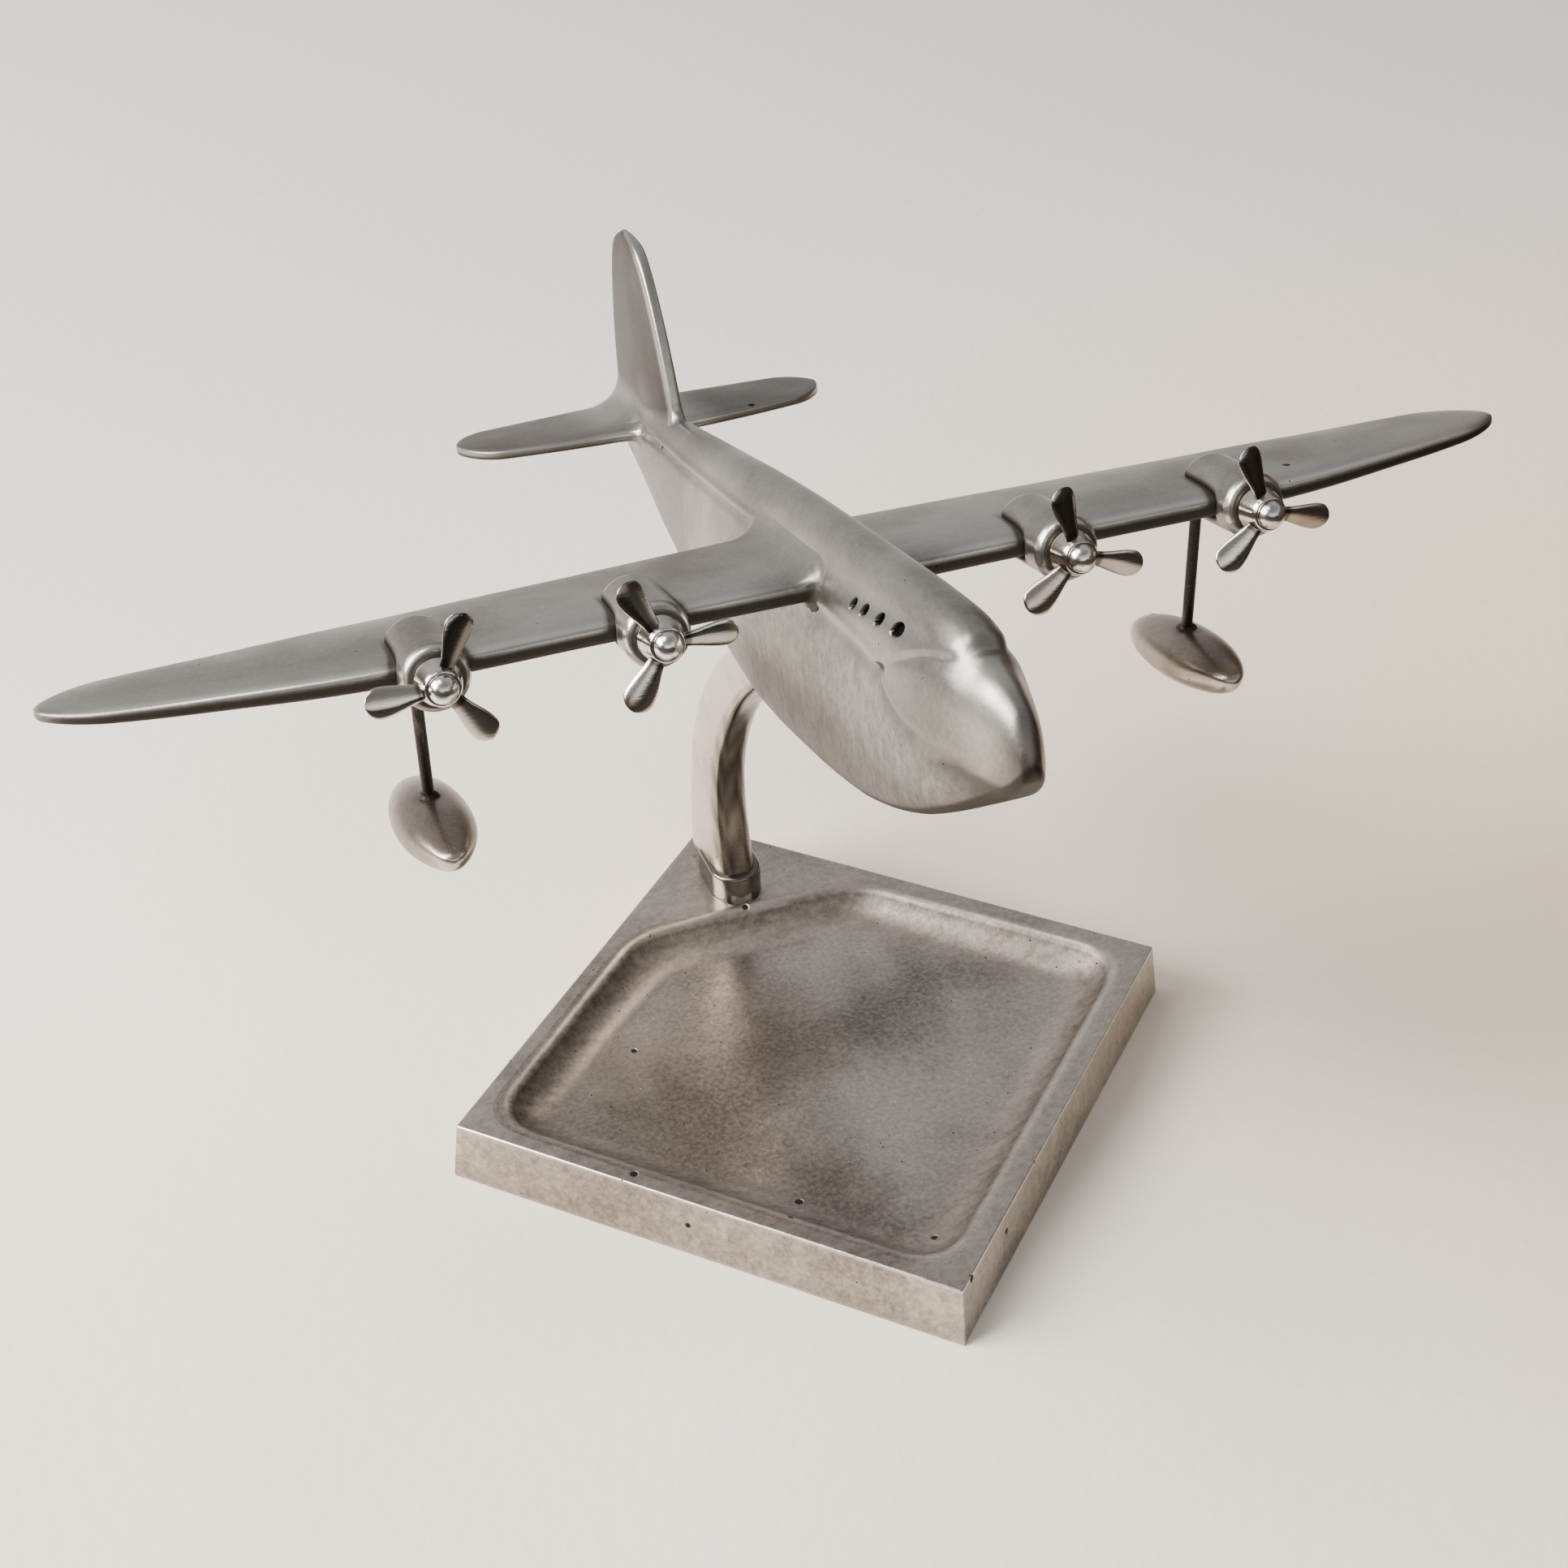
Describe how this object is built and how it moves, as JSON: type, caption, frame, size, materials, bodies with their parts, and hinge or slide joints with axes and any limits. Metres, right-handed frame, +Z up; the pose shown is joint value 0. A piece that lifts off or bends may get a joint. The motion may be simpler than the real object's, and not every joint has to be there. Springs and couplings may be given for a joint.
{
  "type": "model seaplane on stand",
  "caption": "Cast metal desk model of a four-engined seaplane with free-turning propellers, held on a curved arm above a square dished base.",
  "frame": {"origin": "middle of the underside of the square base, on the surface that it rests on", "axes": "+Z up, X along the wing's span with the port wing on +X, the nose towards -Y; the base stands with one corner pointing to -Y"},
  "size_m": [0.291, 0.2358, 0.1664],
  "materials": {
    "cast_alloy": "satin",
    "polished_alloy": "polished",
    "bright_steel": "polished",
    "dark_steel": "tarnished"
  },
  "bodies": {
    "stand_and_aircraft": {"base": "cast_alloy", "arm": "polished_alloy", "arm_screw": "dark_steel", "arm_washer": "dark_steel", "hull_stud": "dark_steel", "airframe": "cast_alloy", "nacelle_1": "cast_alloy", "nacelle_2": "cast_alloy", "nacelle_3": "cast_alloy", "nacelle_4": "cast_alloy", "propeller_pin_1": "bright_steel", "propeller_pin_2": "bright_steel", "propeller_pin_3": "bright_steel", "propeller_pin_4": "bright_steel", "strut_starboard": "dark_steel", "strut_port": "dark_steel", "strut_collar_starboard": "dark_steel", "strut_collar_port": "dark_steel", "float_starboard": "cast_alloy", "float_port": "cast_alloy"},
    "port_outer_propeller": {"propeller_1": "polished_alloy"},
    "port_inner_propeller": {"propeller_2": "polished_alloy"},
    "starboard_inner_propeller": {"propeller_3": "polished_alloy"},
    "starboard_outer_propeller": {"propeller_4": "polished_alloy"}
  },
  "joints": [
    {"name": "port_outer_spin", "type": "hinge", "parent": "stand_and_aircraft", "child": "port_outer_propeller", "pos_m": [0.0789, -0.03626, 0.14644], "axis": [0, -0.9707, 0.2402], "continuous": true},
    {"name": "port_inner_spin", "type": "hinge", "parent": "stand_and_aircraft", "child": "port_inner_propeller", "pos_m": [0.0394, -0.0381, 0.1469], "axis": [0, -0.9707, 0.2402], "continuous": true},
    {"name": "starboard_inner_spin", "type": "hinge", "parent": "stand_and_aircraft", "child": "starboard_inner_propeller", "pos_m": [-0.0394, -0.0381, 0.1469], "axis": [0, -0.9707, 0.2402], "continuous": true},
    {"name": "starboard_outer_spin", "type": "hinge", "parent": "stand_and_aircraft", "child": "starboard_outer_propeller", "pos_m": [-0.0789, -0.03626, 0.14644], "axis": [0, -0.9707, 0.2402], "continuous": true}
  ]
}
